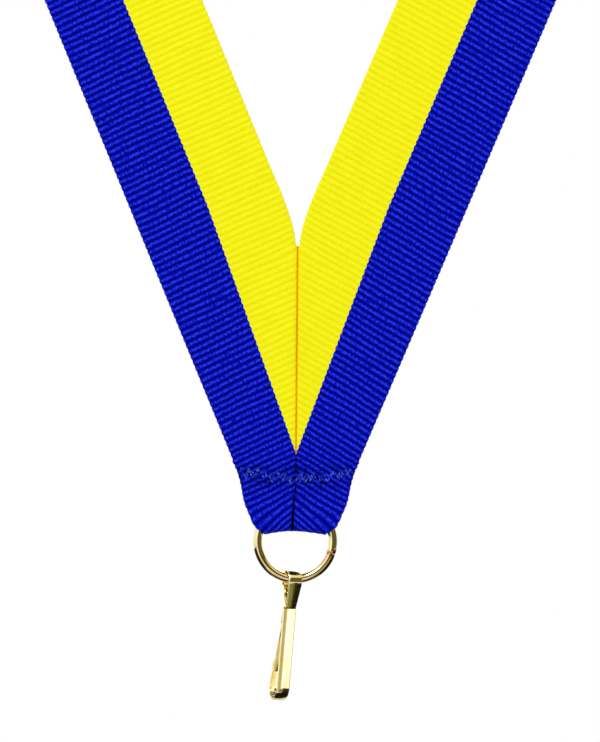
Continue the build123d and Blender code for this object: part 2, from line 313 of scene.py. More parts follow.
def rails(row, skew):
    """Outer edge, colour boundary and inner edge of the right half, as (x, q) for each row.

    On the leg all three are straight and lean by LEAN. Towards the fold the outer edge swells by a
    bell curve and then tucks into the ring; below the knee the boundary comes in faster; and the
    inner edge runs softly into the seam along a hyperbola.
    """
    outer = row + drift(row, -HALF_WIDTH, skew)
    inner = row + drift(row, HALF_WIDTH, skew)
    outer_q = CROSSING + outer * math.cos(LEAN) - HALF_WIDTH * math.sin(LEAN)
    outer_x = outer * math.sin(LEAN) + HALF_WIDTH * math.cos(LEAN)
    outer_x = outer_x + BELLY * np.exp(-(((outer_q - BELLY_HEIGHT) / BELLY_SPREAD) ** 2))
    tuck = TUCK_HALF + TUCK_FLARE * np.maximum(-outer_q - 1.5, 0.0)
    tucked = tuck + (outer_x - tuck) * smooth_step(-0.8, TUCK_TOP, outer_q)
    outer_x = np.where(outer_q < TUCK_TOP, tucked, outer_x)
    low = np.maximum(KNEE - row, 0.0)
    middle_q = CROSSING + row * math.cos(LEAN) - low * KNEE_DROP
    middle_x = row * math.sin(LEAN) + low * KNEE_IN
    inner_q = CROSSING + inner * math.cos(LEAN) + HALF_WIDTH * math.sin(LEAN)
    inner_x = inner * math.sin(LEAN) - HALF_WIDTH * math.cos(LEAN)
    near = smooth_step(56.0, 50.0, inner_q) * smooth_step(*SEAM_TOP, inner_q)
    past = inner_x - SEAM_SHIFT
    eased = 0.5 * (past + np.sqrt(past**2 + SEAM_BLEND**2))
    inner_x = inner_x + near * (eased - inner_x)
    return (outer_x, outer_q), (middle_x, middle_q), (inner_x, inner_q)


def tail_row(skew):
    """Row at which the outer corner of the tail stands at TAIL_TOP behind the front ply."""
    tail_q = BEND_RADIUS * (2.0 - math.pi) - TAIL_TOP
    outer = (tail_q - CROSSING + HALF_WIDTH * math.sin(LEAN)) / math.cos(LEAN)
    return outer - float(drift(-HALF_WIDTH, -HALF_WIDTH, skew))


def side_at(row, skew, x=0.0):
    """Where across the cloth each row crosses a line beside the seam, or the inner selvedge."""
    (outer_x, _), (middle_x, _), (inner_x, _) = rails(row, skew)
    in_blue = HALF_WIDTH * (outer_x - x) / (outer_x - middle_x) - HALF_WIDTH
    in_yellow = HALF_WIDTH * (middle_x - x) / (middle_x - inner_x)
    return np.minimum(np.where(middle_x < x, in_blue, in_yellow), HALF_WIDTH)


def front_reach(row, skew):
    """Sides between which the front part lies: the outer selvedge and the seam."""
    return np.full_like(row, -HALF_WIDTH), side_at(row, skew, -OVERLAP)


def allowance_reach(row, skew):
    """Sides of the seam allowance, which is turned behind the leg at the seam."""
    seam = side_at(row, skew)
    return seam, np.maximum(side_at(row, skew, -ALLOWANCE), seam + 0.01)


def loop_reach(row, skew):
    """Both selvedges."""
    return np.full_like(row, -HALF_WIDTH), np.full_like(row, HALF_WIDTH)


def front_relief(x, q):
    """How far the front cloth is pressed back from flat; below zero it stands forward.

    Beside the seam it stands forward in a ridge that fades by an exponential, and at the seam a
    narrow groove cuts in. The tack row presses a bell-shaped pucker with a swell below it. Soft
    wrinkles and dimples of crossed waves lie over both.
    """
    beside = np.abs(x)
    ridge = -RIDGE * smooth_step(46.0, 28.0, q) * smooth_step(3.0, 12.0, q) * np.exp(-beside / 5.0)
    opening = 0.15 + 0.16 * smooth_step(7.0, 1.0, q)
    deep = 0.24 + 0.3 * smooth_step(9.0, 14.0, q)
    groove = deep * np.exp(-beside / opening) * smooth_step(45.5, 42.5, q)
    pucker = PUCKER * np.exp(-(((q - TACK_HEIGHT) / 0.9) ** 2))
    swell = SWELL * np.exp(-(((q - 5.6) / 1.5) ** 2))
    wrinkle = WRINKLE * ripple(x * 1.4, q * 1.1, 2.0) * smooth_step(16.0, 8.0, q)
    dimples = DIMPLE * ripple(x * 2.3, q * 1.9, 7.0) * np.exp(-(((q - TACK_HEIGHT) / 1.4) ** 2))
    return groove + smooth_step(1.0, 4.0, q) * (ridge + pucker - swell + wrinkle + dimples)


def front_place(row, side, skew):
    """Place and outward normal of the right half's front part, from the tail to the legs.

    A straight run from the outer edge to the colour boundary, and another to the inner edge, give
    x and q. fold_profile bends q round the ring, the relief presses the front in, and the bottom
    edge arches up between its two corners.
    """
    (outer_x, outer_q), (middle_x, middle_q), (inner_x, inner_q) = rails(row, skew)
    blue = (side + HALF_WIDTH) / HALF_WIDTH
    yellow = side / HALF_WIDTH
    in_blue = side < 0
    x = np.where(in_blue, outer_x + (middle_x - outer_x) * blue, middle_x + (inner_x - middle_x) * yellow)
    q = np.where(in_blue, outer_q + (middle_q - outer_q) * blue, middle_q + (inner_q - middle_q) * yellow)
    q = outer_q + (q - outer_q) * smooth_step(-11.0, -1.0, outer_q)
    depth, height, normal_depth, normal_height = fold_profile(q)
    depth = depth + np.where(q > -1.0, front_relief(x, q), 0.0)
    near_fold = smooth_step(3.2, 0.4, q) * smooth_step(-4.5, -1.5, q)
    height = height - near_fold * (0.55 * (np.abs(x) / 4.7) ** 2 - 0.12)
    place = np.stack([x, depth, height], axis=-1)
    normal = np.stack([np.zeros_like(q), normal_depth, normal_height], axis=-1)
    return place, normal


def allowance_place(row, side, skew):
    """Place and outward normal of the allowance: the cloth past the seam, mirrored to the back."""
    place, _ = front_place(row, side, skew)
    x, q = np.abs(place[..., 0]), place[..., 2]
    depth = front_relief(x, q) + CLOTH + ALLOWANCE_GAP
    normal = np.stack([np.zeros_like(q), np.ones_like(q), np.zeros_like(q)], axis=-1)
    return np.stack([x + ALLOWANCE_GAP / 2, depth, q], axis=-1), normal


def leg_place(row, side, skew):
    """Place and outward normal of the right half's loop: its flat pattern laid on the cone."""
    along = row + drift(row, side, skew)
    x = along * math.sin(LEAN) - side * math.cos(LEAN)
    z = CROSSING + along * math.cos(LEAN) + side * math.sin(LEAN)
    return on_cone(x, z)


def cross_section(front_count, back_count):
    """Share across and share through the cloth for one closed turn round the ribbon.

    It runs over the front face, round one selvedge in three points, back over the rear face and
    round the other selvedge.
    """
    edge = np.array([0.62, 0.0, -0.62])
    forth = np.linspace(0.0, 1.0, front_count)
    back = np.linspace(1.0, 0.0, back_count)
    share = np.concatenate([forth, np.ones(3), back, np.zeros(3)])
    through = np.concatenate([np.ones(front_count), edge, -np.ones(back_count), edge[::-1]])
    return share, through


def make_ribbon_piece(name, hand, ends, per_rib, counts, placing, reach):
    """A stretch of one half: closed cross-section, ribs across it, scalloped selvedges.

    Each rib is the upper part of a circle; between ribs the surface drops to a narrow valley. The
    selvedges bulge out by half a circle and a little more at each rib. The left half is the right
    half mirrored, with its own skew, and near the fold the seam of both leans to the left.
    """
    first, last = ends
    skew = SKEW[hand]
    mirrored = hand == "left"
    rows = int(round((last - first) / RIB * per_rib)) + 1
    row = np.linspace(first, last, rows)[:, None]
    share, through = cross_section(*counts)
    low, high = reach(row, skew)
    weave = woven(row)
    within = weave / RIB - np.floor(weave / RIB) - 0.5
    rib = np.sqrt(np.clip(1.0 - (within * RIB_ROUND) ** 2, 0.0, 1.0))
    round_out = 0.5 * CLOTH * np.sqrt(1.0 - np.abs(through) ** 2)
    edge_out = round_out + SCALLOP * (rib - 0.5) - EDGE_TUCK
    side = low + share * (high - low)
    waver = 0.5 + 0.5 * ripple(side * 0.9, row * 2.3, 5.0)
    sway = RIB_SWAY * ripple(side * 0.35, row * 0.30, 8.0) * smooth_step(LEG_END, LEG_END - 9.0, row)
    height = RIB_HEIGHT * (rib - 1.0) + RIB_WANDER * waver * rib
    inner_edge = (share > 0.999) * (high >= HALF_WIDTH - 1e-6)
    outer_edge = (share < 0.001) * (low <= -HALF_WIDTH)
    side = side + (1.0 * inner_edge - 1.0 * outer_edge) * edge_out
    place, normal = placing(row + sway, side, skew)
    lift = through * (CLOTH / 2 + height * (np.abs(through) > 0.9))
    points = place + normal * lift[..., None]
    cloth = np.stack([side, np.broadcast_to(weave, side.shape)], axis=-1)
    seam = points[..., [0, 2]].copy()
    if mirrored:
        points = points * np.array([-1.0, 1.0, 1.0])
    low_down = smooth_step(9.0, 1.0, points[..., 2]) * smooth_step(-4.0, -1.0, points[..., 2])
    points[..., 0] = points[..., 0] - SEAM_LEAN * low_down * np.exp(-((points[..., 0] / 3.5) ** 2))
    if mirrored != (placing is allowance_place):
        points = points[:, ::-1]
        cloth = cloth[:, ::-1]
        seam = seam[:, ::-1]
    piece = grid_mesh(name, points, layers={"cloth": cloth, "seam": seam})
    return piece


# ---- threads, ring and hook --------------------------------------------------------------
def tube(name, path, radius, sides):
    """Round bar along a path of points: circles at right angles to it, carried without twist."""
    tangent = np.gradient(path, axis=0)
    tangent = tangent / np.linalg.norm(tangent, axis=1, keepdims=True)
    normal = np.cross(tangent[0], [0.0, 1.0, 0.01])
    normals = []
    for direction in tangent:
        normal = normal - direction * np.dot(normal, direction)
        normal = normal / np.linalg.norm(normal)
        normals.append(normal)
    normals = np.array(normals)
    binormals = np.cross(tangent, normals)
    angle = np.linspace(0.0, 2 * math.pi, sides, endpoint=False)
    circle = (
        np.cos(angle)[None, :, None] * normals[:, None, :]
        + np.sin(angle)[None, :, None] * binormals[:, None, :]
    )
    radius = np.broadcast_to(radius, (len(path),))
    points = path[:, None, :] + circle * radius[:, None, None]
    length = np.concatenate([[0.0], np.cumsum(np.linalg.norm(np.diff(path, axis=0), axis=1))])
    uv = np.stack(np.broadcast_arrays(angle[None, :], length[:, None]), axis=-1)
    return grid_mesh(name, points, layers={"cloth": uv})


def zigzag_path(legs, seed, per_leg=30):
    """Tack row: legs up and down along a triangle wave, on a parabola that sags towards the seam.

    Crossed waves make the legs uneven. The thread dives into the cloth at each turn by a narrow
    bell curve, and sinks and rises on the way.
    """
    step = np.linspace(0.0, legs, legs * per_leg + 1)
    still = np.zeros_like(step)
    x = -TACK_HALF + 2 * TACK_HALF * step / legs + 0.3 * ripple(step * 1.3, still, seed)
    swing = np.abs((step % 2.0) - 1.0)
    q = TACK_HEIGHT - TACK_SAG * (1.0 - (x / TACK_HALF) ** 2) + TACK_RISE * (swing - 0.5)
    q = q + 0.3 * ripple(step * 0.8, still, seed + 3.0)
    to_turn = np.abs((step + 0.5) % 1.0 - 0.5)
    sink = 0.2 * (1.0 + 1.4 * ripple(step * 4.0, still, seed + 5.0))
    dive = 0.5 * np.exp(-((to_turn / 0.09) ** 2)) + sink
    depth = front_relief(x, q) - CLOTH / 2 - THREAD_RADIUS * 0.75 + dive
    return np.stack([x, depth, q], axis=-1)


def seam_path(per_stitch=20):
    """Overcast seam: in each pitch the thread crosses behind the seam and goes back inside it.

    Soft steps carry it across, out of the cloth, in again and up to the next stitch.
    """
    first, last = STITCH_ENDS
    count = int((last - first) / STITCH_PITCH)
    step = np.linspace(0.0, count, count * per_stitch + 1)
    part = step - np.floor(step)
    across = smooth_step(0.1, 0.55, part) - smooth_step(0.62, 0.98, part)
    shown = smooth_step(0.04, 0.2, part) * smooth_step(0.62, 0.46, part)
    q = first + np.floor(step) * STITCH_PITCH + STITCH_PITCH * smooth_step(0.6, 1.0, part)
    x = -STITCH_HALF + 2 * STITCH_HALF * across
    depth = front_relief(0.3, q) + CLOTH + 0.34 + shown * (CLOTH / 2 + 0.06)
    return np.stack([x, depth, q], axis=-1)


def make_ring(steps=361):
    """Round wire bent to a circle, with its two ends rounded off and almost touching."""
    gap = BUTT_GAP / RING_RADIUS
    angle = np.linspace(BUTT_ANGLE + gap / 2, BUTT_ANGLE + 2 * math.pi - gap / 2, steps)
    x = RING_RADIUS * np.cos(angle)
    z = RING_RADIUS * np.sin(angle)
    path = np.stack([x, np.full_like(x, RING_DEPTH), z - RING_DROP], axis=-1)
    ends = np.minimum(np.arange(steps), np.arange(steps)[::-1])
    radius = WIRE_RADIUS - 0.05 * np.exp(-ends / 1.5)
    return tube("jump_ring_wire", path, radius, sides=48)


def hook_axes():
    """Wire centre at the eye, and the hook's depth, width and up directions, from the joints."""
    wire = np.array(JOINTS["hook_swing"]["pos_m"]) * 1000.0
    wide = np.array(JOINTS["gate_flex"]["axis"])
    up = (RING_CENTRE - wire) / np.linalg.norm(RING_CENTRE - wire)
    return wire - FOLD, np.cross(wide, up), wide, up


def hang(depth, width, height):
    """Points of the hook's own depth, width and height, hung on the ring."""
    wire, deep, wide, up = hook_axes()
    return wire + depth[..., None] * deep + width[..., None] * wide + height[..., None] * up


def arc(centre, radius, first, last, step=0.05):
    """Points of an arc, angles in radians from +depth towards +height."""
    count = max(int(abs(last - first) * radius / step), 3)
    angle = np.linspace(first, last, count)
    return np.stack([centre[0] + radius * np.cos(angle), centre[1] + radius * np.sin(angle)], axis=-1)


def hook_line():
    """Middle line of the strip, as depth and height: tab, eye, neck, spine, bend and tip.

    Eye, neck, bend and flare are arcs, each tangent to the straight runs between them.
    """
    eye = (0.0, EYE_HEIGHT)
    over = arc(eye, EYE_RADIUS, math.pi + TAB_INCLINE, -NECK_INCLINE)
    tab_end = over[0] + TAB_LENGTH * np.array([math.sin(TAB_INCLINE), -math.cos(TAB_INCLINE)])
    run = (over[-1][0] - NECK_RADIUS * (1 - math.cos(NECK_INCLINE))) / math.sin(NECK_INCLINE)
    neck_end = over[-1] - run * np.array([math.sin(NECK_INCLINE), math.cos(NECK_INCLINE)])
    turn = (NECK_RADIUS, neck_end[1] - NECK_RADIUS * math.sin(NECK_INCLINE))
    neck = arc(turn, NECK_RADIUS, math.pi - NECK_INCLINE, math.pi)
    bend = arc((BEND_TURN_RADIUS, BEND_HEIGHT), BEND_TURN_RADIUS, math.pi, 2 * math.pi)
    tip_top = np.array([2 * BEND_TURN_RADIUS, BEND_HEIGHT + TIP_LENGTH])
    flare = arc((tip_top[0] + FLARE_RADIUS, tip_top[1]), FLARE_RADIUS, math.pi, math.pi - FLARE_ANGLE)
    knots = [tab_end[None], over, neck, bend, flare]
    line = [knots[0]]
    for stretch in knots[1:]:
        gap = np.linalg.norm(stretch[0] - line[-1][-1])
        share = np.linspace(0.0, 1.0, max(int(gap / 0.08), 2))[1:-1, None]
        line.append(line[-1][-1] + share * (stretch[0] - line[-1][-1]))
        line.append(stretch[1:] if gap < 1e-6 else stretch)
    return np.concatenate(line)


def make_hook_strip():
    """Pressed strip: one section carried along the hook's line, at right angles to it.

    The section is a rounded rectangle, a power of sine and cosine. The face that is outside on the
    spine has a soft ridge along its middle, the other face is slightly domed. The strip narrows
    evenly to the tab and to the tip, and both ends are round.
    """
    line = hook_line()
    along = np.gradient(line, axis=0)
    along = along / np.linalg.norm(along, axis=1, keepdims=True)
    normal = np.stack([along[:, 1], -along[:, 0]], axis=-1)
    travel = np.concatenate([[0.0], np.cumsum(np.linalg.norm(np.diff(line, axis=0), axis=1))])
    total = travel[-1]
    lowest = travel[np.argmin(line[:, 1])]
    to_tab = np.clip(1.0 - travel / TAB_LENGTH, 0.0, 1.0)
    to_tip = np.clip((travel - lowest) / (total - lowest), 0.0, 1.0)
    half = STRIP_WIDTH / 2
    half_width = half + (TAB_WIDTH / 2 - half) * to_tab
    half_width = half_width + (TIP_WIDTH / 2 - half) * to_tip
    near_end = np.clip(1.0 - np.minimum(travel, total - travel) / END_ROUND, 0.0, 1.0)
    rounded = np.sqrt(np.clip(1.0 - near_end**2, 0.02, 1.0))
    half_width = half_width - END_ROUND * (1.0 - rounded)
    turn = np.linspace(0.0, 2 * math.pi, 64, endpoint=False)
    share = np.sign(np.cos(turn)) * np.abs(np.cos(turn)) ** STRIP_ROUND
    rim = np.minimum(np.abs(np.sin(turn)) ** STRIP_ROUND * 1.3, 1.0)
    ridge = 1.0 - 0.55 * np.sqrt((share**2 + 0.02) / 1.02) - 0.45 * share**4
    front = 0.08 + 0.17 * ridge
    back = 0.19 + 0.06 * (1.0 - share**2)
    through = np.where(np.sin(turn) >= 0, front, -back) * rim
    width = share[None, :] * half_width[:, None]
    spread = rounded[:, None] * through[None, :]
    depth = line[:, 0:1] + normal[:, 0:1] * spread
    height = line[:, 1:2] + normal[:, 1:2] * spread
    return grid_mesh("hook_strip", hang(depth, width, height))


def hook_root():
    """Height of the gate's root, from its joint."""
    wire, _, _, up = hook_axes()
    return float(np.dot(np.array(JOINTS["gate_flex"]["pos_m"]) * 1000.0 - FOLD - wire, up))


def make_hook_ear(name, side):
    """Small plate beside the gate's root: a rectangle with two round corners at its free edge.

    Four outlines, the outer two slightly smaller, make the thickness with broken edges.
    """
    root = hook_root()
    free = STRIP_HALF + EAR_DEPTH - EAR_CORNER
    bottom = root - EAR_HEIGHT / 2
    top = root + EAR_HEIGHT / 2
    low = arc((free, bottom + EAR_CORNER), EAR_CORNER, -math.pi / 2, 0.0)
    high = arc((free, top - EAR_CORNER), EAR_CORNER, 0.0, math.pi / 2)
    outline = np.concatenate([[[0.0, bottom]], low, high, [[0.0, top]]])
    middle = outline.mean(axis=0)
    rows = []
    for offset, shrink in ((-1.0, 0.94), (-0.7, 1.0), (0.7, 1.0), (1.0, 0.94)):
        ring = middle + (outline - middle) * shrink
        width = np.full(len(ring), side * EAR_SIDE + offset * EAR_THICKNESS / 2)
        rows.append(hang(ring[:, 0], width, ring[:, 1]))
    return grid_mesh(name, np.array(rows))


# ---- materials ---------------------------------------------------------------------------
# colour of the cloth in glossy rays only: a painted dark reflection of the ribbon in the gold
CLOTH_PAINTED_DARK_IN_REFLECTIONS = (0.004, 0.004, 0.02, 1.0)
GOLD_PATCHES = (0.35, 0.8)


def node(tree, kind, **settings):
    """A new node with its settings."""
    made = tree.nodes.new(kind)
    for key, value in settings.items():
        setattr(made, key, value)
    return made


def maths(tree, operation, first, second=None, clamp=False):
    """Output of a Math node; each operand is a socket or a number."""
    made = node(tree, "ShaderNodeMath", operation=operation, use_clamp=clamp)
    for number, value in enumerate((first, second)):
        if value is None:
            continue
        if isinstance(value, (int, float)):
            made.inputs[number].default_value = value
        else:
            tree.links.new(value, made.inputs[number])
    return made.outputs[0]


def add(tree, first, second, clamp=False):
    """First plus second."""
    return maths(tree, "ADD", first, second, clamp)


def subtract(tree, first, second, clamp=False):
    """First minus second."""
    return maths(tree, "SUBTRACT", first, second, clamp)


def multiply(tree, first, second, clamp=False):
    """First times second."""
    return maths(tree, "MULTIPLY", first, second, clamp)


def centred(tree, value, amount):
    """A value from 0 to 1 as a swing about its middle, times an amount."""
    return multiply(tree, subtract(tree, value, 0.5), amount)


def parts(tree, vector):
    """The first two numbers of a coordinate socket."""
    split = node(tree, "ShaderNodeSeparateXYZ")
    tree.links.new(vector, split.inputs[0])
    return split.outputs[0], split.outputs[1]


def mix(tree, share, first, second, blend="MIX"):
    """Output of a colour mix; share and colours are sockets or values."""
    made = node(tree, "ShaderNodeMix", data_type="RGBA", blend_type=blend)
    for socket, value in ((made.inputs[0], share), (made.inputs[6], first), (made.inputs[7], second)):
        if isinstance(value, bpy.types.NodeSocket):
            tree.links.new(value, socket)
        else:
            socket.default_value = value
    return made.outputs[2]


def noise(tree, vector, scale, detail=2.0, roughness=0.5):
    """Output of a noise texture on a coordinate socket."""
    made = node(tree, "ShaderNodeTexNoise", noise_dimensions="3D")
    made.inputs["Scale"].default_value = scale
    made.inputs["Detail"].default_value = detail
    made.inputs["Roughness"].default_value = roughness
    tree.links.new(vector, made.inputs["Vector"])
    return made.outputs[0]


def linear(red, green, blue):
    """Display colour, 0 to 255, as the linear colour that shaders use."""
    shares = np.array([red, green, blue]) / 255.0
    flat = np.where(shares <= 0.04045, shares / 12.92, ((shares + 0.055) / 1.055) ** 2.4)
    return (*flat.tolist(), 1.0)


def new_group(name, inputs, outputs):
    """Shader group with named sockets, each a kind and a default."""
    group = bpy.data.node_groups.new(name, "ShaderNodeTree")
    for title, kind in inputs:
        group.interface.new_socket(title, in_out="INPUT", socket_type=kind)
    for title, kind in outputs:
        group.interface.new_socket(title, in_out="OUTPUT", socket_type=kind)
    return group, group.nodes.new("NodeGroupInput"), group.nodes.new("NodeGroupOutput")


def stretched_noise(tree, side, row, across, along, detail, roughness):
    """Noise on cloth coordinates, so many cells to a millimetre across and along the ribbon."""
    place = node(tree, "ShaderNodeCombineXYZ")
    tree.links.new(multiply(tree, side, across), place.inputs[0])
    tree.links.new(multiply(tree, row, along), place.inputs[1])
    return noise(tree, place.outputs[0], 1.0, detail, roughness)


def seam_shade_masks(tree, place):
    """Masks from the distance to the seam and the height on the front ply.

    The seam's line is painted shade in the gap between the halves, wider towards the fold. The
    broken line is the same painted shade, shut in places where the tack row pulls the halves
    together. The last mask is painted shadow in the puckers round the tack row.
    """
    distance, height = parts(tree, place)
    distance = maths(tree, "ABSOLUTE", distance)
    gape = subtract(tree, 1.2, multiply(tree, height, 0.2), clamp=True)
    narrow = subtract(tree, 8.0, multiply(tree, gape, 3.0))
    line = subtract(tree, 1.7, multiply(tree, distance, narrow), clamp=True)
    off_row = maths(tree, "ABSOLUTE", subtract(tree, height, TACK_HEIGHT - 0.7))
    pulled = subtract(tree, 1.6, multiply(tree, off_row, 0.32), clamp=True)
    shut = multiply(tree, subtract(tree, noise(tree, place, 0.9), 0.44), 8.0, clamp=True)
    shut = multiply(tree, pulled, shut)
    broken = multiply(tree, line, subtract(tree, 1.0, multiply(tree, shut, 0.8)))
    # painted shadow in noisy patches in the puckers near the tack row
    pucker_shadow_noise = multiply(tree, subtract(tree, noise(tree, place, 1.7), 0.5), 9.0, clamp=True)
    near_row = subtract(tree, 1.7, multiply(tree, off_row, 0.7), clamp=True)
    return line, broken, multiply(tree, pucker_shadow_noise, multiply(tree, near_row, 0.85))


def cloth_group():
    """Ribbed weave: colours by side, painted valley shade and crown highlight, silky warp streaks, height.
    """
    inputs = [("Cloth", "NodeSocketVector"), ("Seam", "NodeSocketVector")]
    outputs = [
        ("Colour", "NodeSocketColor"),
        ("Roughness", "NodeSocketFloat"),
        ("Height", "NodeSocketFloat"),
    ]
    group, given, result = new_group("ribbed weave", inputs, outputs)
    place = given.outputs["Cloth"]
    side, row = parts(group, place)
    wobble = centred(group, noise(group, place, 0.55), 0.12)
    phase = add(group, maths(group, "DIVIDE", row, RIB), wobble)
    wave = maths(group, "COSINE", multiply(group, phase, 2 * math.pi))
    crown = subtract(group, 0.5, multiply(group, wave, 0.5))
    fleck = stretched_noise(group, side, row, 2.6, 2.2, 3.0, 0.6)
    warp = stretched_noise(group, side, row, 5.5, 0.8, 2.0, 0.5)
    shade = noise(group, place, 0.35)
    lively = add(group, centred(group, fleck, 2.4), centred(group, warp, 0.9))
    # painted light from the ribs' shape: crowns painted lit, valleys painted in shade, broken by flecks
    light = add(group, crown, multiply(group, lively, add(group, 0.35, crown)))
    deep = subtract(group, 1.0, multiply(group, light, 2.2), clamp=True)
    bright = subtract(group, multiply(group, light, 2.0), 1.25, clamp=True)
    boundary = centred(group, crown, 0.14)
    in_yellow = maths(group, "GREATER_THAN", subtract(group, side, boundary), 0.0)
    line, broken, painted_pucker_shadow = seam_shade_masks(group, given.outputs["Seam"])
    # painted shade in the blue valleys and painted highlight on the blue crowns
    blue = mix(group, deep, linear(2, 13, 184), linear(0, 0, 114))
    blue = mix(group, bright, blue, linear(38, 58, 246))
    # painted shade of the seam gap, near black, shut in places by the tack row
    blue = mix(group, broken, blue, linear(0, 0, 16))
    # painted shadow in the puckers round the tack row
    blue = mix(group, painted_pucker_shadow, blue, linear(0, 0, 40))
    # painted shade in the yellow valleys and painted highlight on the yellow crowns
    yellow = mix(group, deep, linear(255, 252, 24), linear(252, 241, 6))
    yellow = mix(group, bright, yellow, linear(255, 254, 46))
    # painted shade in the seam gap, in the orange of the thread inside it
    yellow = mix(group, line, yellow, linear(255, 178, 2))
    colour = mix(group, in_yellow, blue, yellow)
    tint = mix(group, multiply(group, shade, 0.10), colour, linear(90, 90, 110), "MULTIPLY")
    group.links.new(tint, result.inputs[0])
    rough = add(group, 0.45, multiply(group, warp, 0.3))
    group.links.new(rough, result.inputs[1])
    high = add(group, multiply(group, warp, 0.6), multiply(group, fleck, 0.5))
    group.links.new(high, result.inputs[2])
    return group


def new_material(name):
    """Material with its shader, and the tree to build in."""
    made = bpy.data.materials.new(name)
    made.use_nodes = True
    return made, made.node_tree, made.node_tree.nodes["Principled BSDF"]


def add_bump(tree, shader, height, strength, distance):
    """Bump from a height socket on a shader's normal; distance in metres."""
    bump = node(tree, "ShaderNodeBump")
    bump.inputs["Strength"].default_value = strength
    bump.inputs["Distance"].default_value = distance
    tree.links.new(height, bump.inputs["Height"])
    tree.links.new(bump.outputs[0], shader.inputs["Normal"])


def cloth_material():
    """Satin ribbed ribbon, blue outer half and yellow inner half.

    In reflections the cloth is painted nearly black: a painted dark reflection in the polished metal.
    """
    made, tree, shader = new_material("woven satin")
    uv = node(tree, "ShaderNodeUVMap", uv_map="cloth")
    seam = node(tree, "ShaderNodeUVMap", uv_map="seam")
    weave = node(tree, "ShaderNodeGroup", node_tree=cloth_group())
    tree.links.new(uv.outputs[0], weave.inputs["Cloth"])
    tree.links.new(seam.outputs[0], weave.inputs["Seam"])
    # painted dark reflection: glossy rays see the cloth painted nearly black
    path = node(tree, "ShaderNodeLightPath")
    colour = mix(tree, path.outputs["Is Glossy Ray"], weave.outputs["Colour"], CLOTH_PAINTED_DARK_IN_REFLECTIONS)
    tree.links.new(colour, shader.inputs["Base Color"])
    tree.links.new(weave.outputs["Roughness"], shader.inputs["Roughness"])
    add_bump(tree, shader, weave.outputs["Height"], 0.5, 0.00012)
    shader.inputs["Specular IOR Level"].default_value = 0.02
    return made


def thread_material(name, dark, light):
    """Spun thread: slanting plies in painted light and shade, painted shade where it dips into cloth."""
    made, tree, shader = new_material(name)
    uv = node(tree, "ShaderNodeUVMap", uv_map="cloth")
    angle, length = parts(tree, uv.outputs[0])
    # painted light and shade on the twisted plies
    turn = add(tree, multiply(tree, length, 9.0), angle)
    ply = add(tree, 0.5, multiply(tree, maths(tree, "SINE", turn), 0.5))
    run = node(tree, "ShaderNodeCombineXYZ")
    tree.links.new(multiply(tree, length, 0.3), run.inputs[0])
    # painted shade in random stretches, where the thread dips into the cloth
    sunk_shade = subtract(tree, noise(tree, run.outputs[0], 1.0), 0.38)
    lit = multiply(tree, ply, multiply(tree, sunk_shade, 6.0, clamp=True))
    tree.links.new(mix(tree, lit, dark, light), shader.inputs["Base Color"])
    shader.inputs["Roughness"].default_value = 0.55
    shader.inputs["Specular IOR Level"].default_value = 0.08
    return made


def gold_material(name, base, deep, rough, joint=0.0):
    """Lacquered gold-toned metal: warm base, browner patches, faint smudges.

    joint is the wire's length where it is a bent ring: its two ends are stained orange.
    """
    made, tree, shader = new_material(name)
    place = node(tree, "ShaderNodeTexCoord").outputs["Object"]
    patch = noise(tree, place, 420.0, 3.0, 0.6)
    fine = noise(tree, place, 2600.0, 3.0, 0.6)
    low, high = GOLD_PATCHES
    share = multiply(tree, subtract(tree, patch, low), 1.0 / (high - low), clamp=True)
    colour = mix(tree, share, base, deep)
    if joint:
        uv = node(tree, "ShaderNodeUVMap", uv_map="cloth")
        _, length = parts(tree, uv.outputs[0])
        from_middle = maths(tree, "ABSOLUTE", subtract(tree, length, joint / 2))
        to_end = subtract(tree, joint / 2, from_middle)
        stain = subtract(tree, 1.1, multiply(tree, to_end, 2.6), clamp=True)
        colour = mix(tree, stain, colour, linear(196, 108, 30))
    tree.links.new(colour, shader.inputs["Base Color"])
    tree.links.new(add(tree, rough, multiply(tree, fine, 0.08)), shader.inputs["Roughness"])
    shader.inputs["Metallic"].default_value = 1.0
    add_bump(tree, shader, patch, 0.05, 0.00002)
    return made


def dress(piece, material, body, slot, *nodes):
    """Material and body of a piece, and the CAD nodes that it stands for; slot is not used."""
    piece.data.materials.clear()
    piece.data.materials.append(material)
    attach(piece, body)
    if nodes:
        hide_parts(*nodes)


# ---- build the pieces --------------------------------------------------------------------
cloth = cloth_material()
for hand, skew in SKEW.items():
    front_ends = (tail_row(skew), LEG_END)
    for piece in (
        make_ribbon_piece(f"ribbon_front_{hand}", hand, front_ends, 8, (44, 12), front_place, front_reach),
        make_ribbon_piece(
            f"ribbon_allowance_{hand}", hand, ALLOWANCE_ROWS, 8, (16, 6), allowance_place, allowance_reach
        ),
        make_ribbon_piece(
            f"ribbon_loop_{hand}", hand, (LEG_END, LOOP_END), 5, (24, 12), leg_place, loop_reach
        ),
    ):
        dress(piece, cloth, "sewn_ribbon", "ribbon", "ribbon")

# shaded and lit copies of the blue, for the thread's painted shade and light
tack_thread = thread_material("blue thread", linear(2, 10, 130), linear(80, 118, 255))
for name, legs, seed in (("tack_row", 24, 2.0), ("tack_row_return", 19, 6.0)):
    thread = tube(name, zigzag_path(legs, seed), THREAD_RADIUS, sides=8)
    dress(thread, tack_thread, "sewn_ribbon", "tack_thread", "bar_tack")
# shaded and lit copies of the yellow, for the thread's painted shade and light
seam_thread = thread_material("yellow thread", linear(196, 140, 10), linear(250, 226, 60))
stitches = tube("seam_stitches", seam_path(), SEAM_THREAD_RADIUS, sides=8)
dress(stitches, seam_thread, "sewn_ribbon", "seam_thread", "seam_thread")

